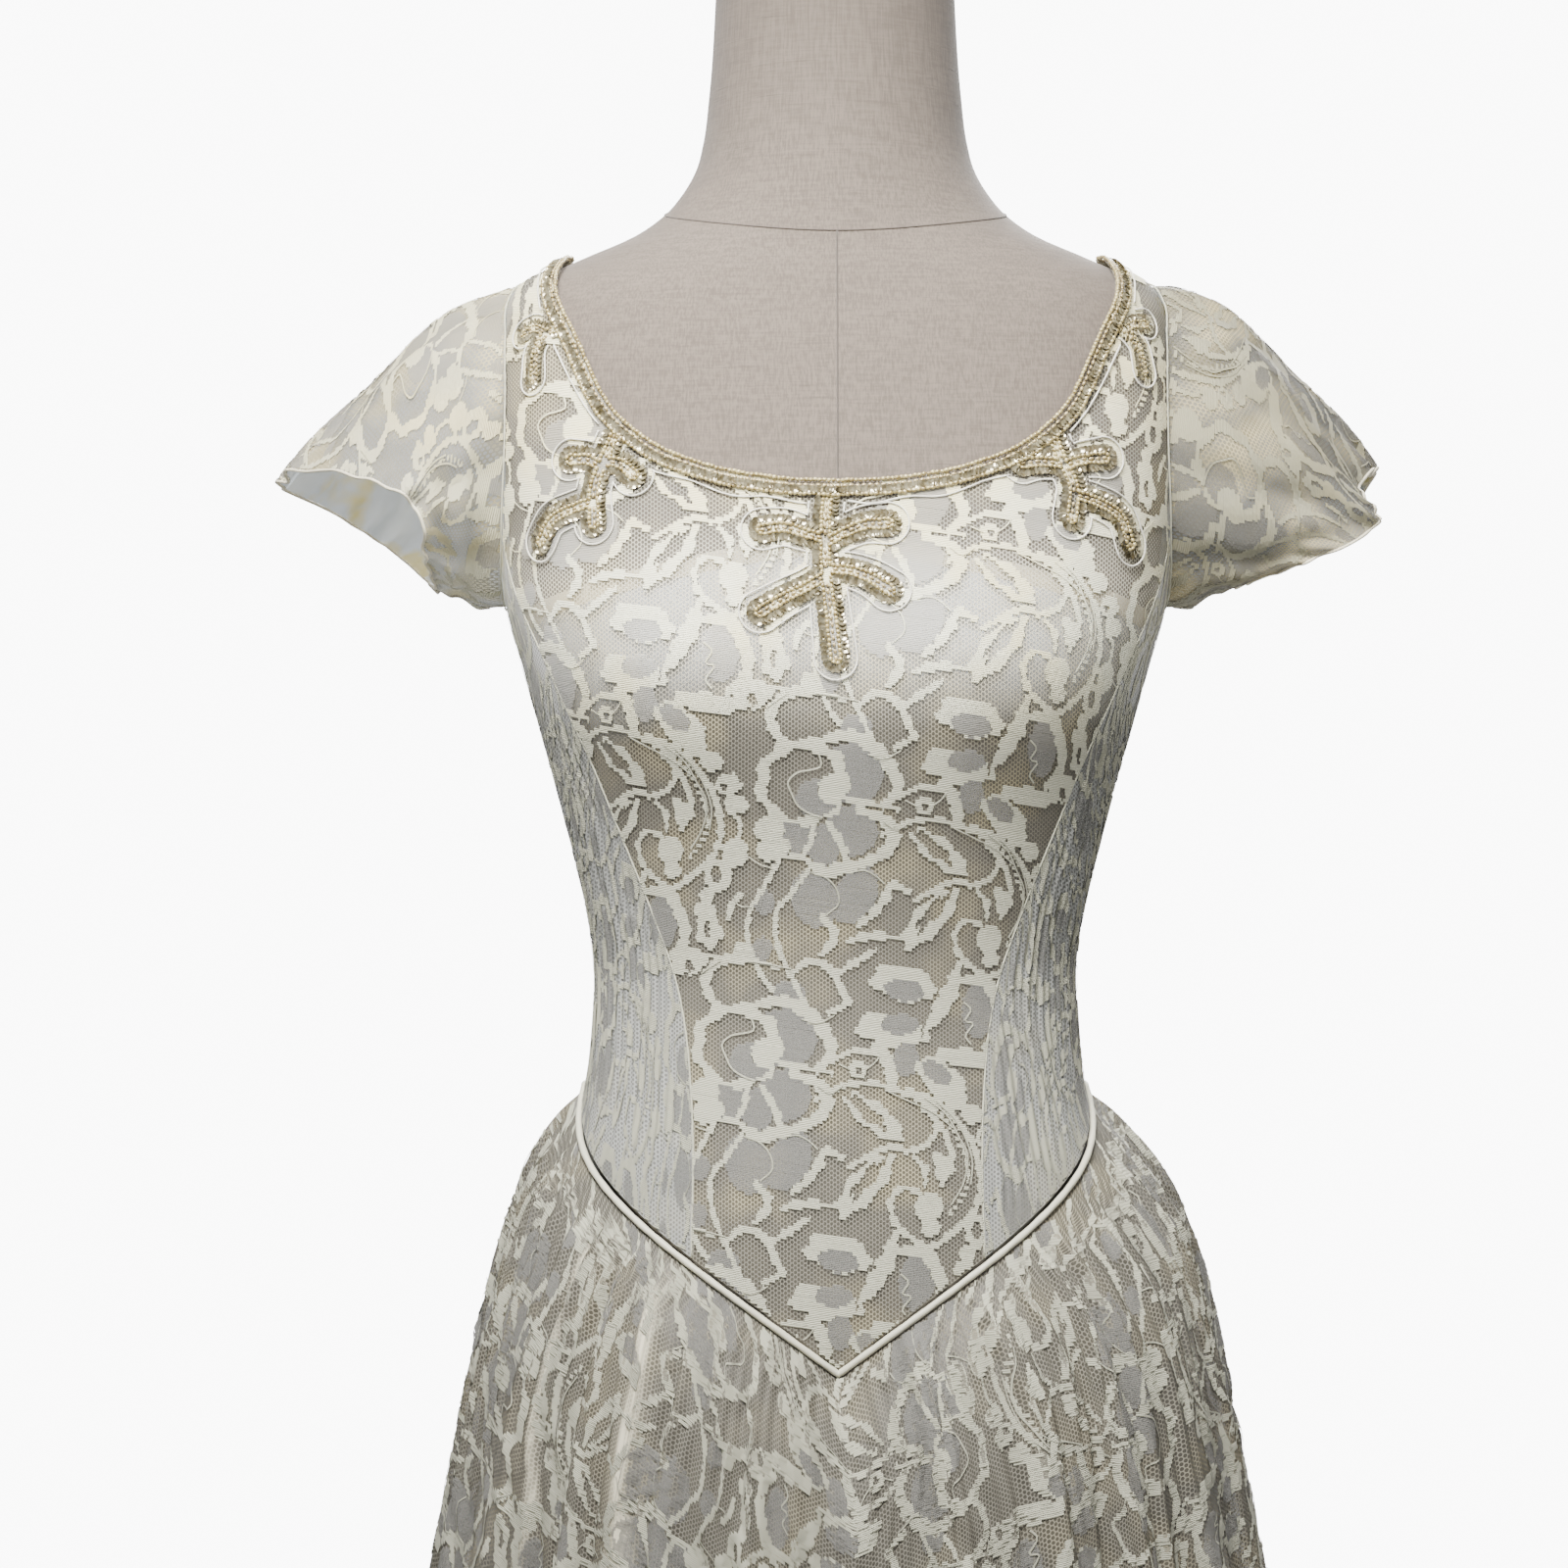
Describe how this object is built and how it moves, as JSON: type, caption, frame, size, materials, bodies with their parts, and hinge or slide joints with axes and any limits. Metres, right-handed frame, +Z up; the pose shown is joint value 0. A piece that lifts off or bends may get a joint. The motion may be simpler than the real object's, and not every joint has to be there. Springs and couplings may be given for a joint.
{
  "type": "lace wedding dress on a limbless dress form",
  "caption": "Floor-length lace wedding dress with cap sleeves, a scoop neck, a pointed waist and a gathered skirt, on a limbless dress form.",
  "frame": {"origin": "on the floor, under the middle of the skirt's hem", "axes": "+Z up, the dress's front faces -Y, +X towards the viewer's right"},
  "size_m": [0.7054, 0.6651, 1.606],
  "materials": {
    "linen": "plain-weave linen over padding",
    "stand_metal": "satin off-white powder coat",
    "satin": "pale grey-beige satin",
    "piping_satin": "cream satin cord",
    "button_satin": "cream satin, domed",
    "bodice_lace": "ivory floral lace, matt",
    "sleeve_lace": "ivory floral lace, one sheer layer",
    "skirt_lace": "ivory floral lace, gathered",
    "bead_band": "champagne sequins and beads on net",
    "bead_sprigs": "white cord, clear sequins and gold beads"
  },
  "bodies": {
    "root": {"form_torso": "linen", "stand_base": "stand_metal", "stand_pole": "stand_metal", "underbodice_front": "satin", "underbodice_back_right": "satin", "underbodice_back_left": "satin", "underskirt_front": "satin", "underskirt_back_right": "satin", "underskirt_back_left": "satin", "waist_piping": "piping_satin", "button_1": "button_satin", "button_2": "button_satin", "button_3": "button_satin", "button_4": "button_satin", "button_5": "button_satin", "button_6": "button_satin", "button_7": "button_satin", "button_8": "button_satin", "button_9": "button_satin", "bodice_front": "bodice_lace", "bodice_side_right": "bodice_lace", "bodice_side_left": "bodice_lace", "bodice_back_right": "bodice_lace", "bodice_back_left": "bodice_lace", "sleeve_right": "sleeve_lace", "sleeve_left": "sleeve_lace", "skirt_front": "skirt_lace", "skirt_back_right": "skirt_lace", "skirt_back_left": "skirt_lace", "neck_band": "bead_band", "sprig_centre": "bead_sprigs", "sprig_left": "bead_sprigs", "sprig_right": "bead_sprigs", "sprig_shoulder_left": "bead_sprigs", "sprig_shoulder_right": "bead_sprigs"}
  },
  "joints": []
}
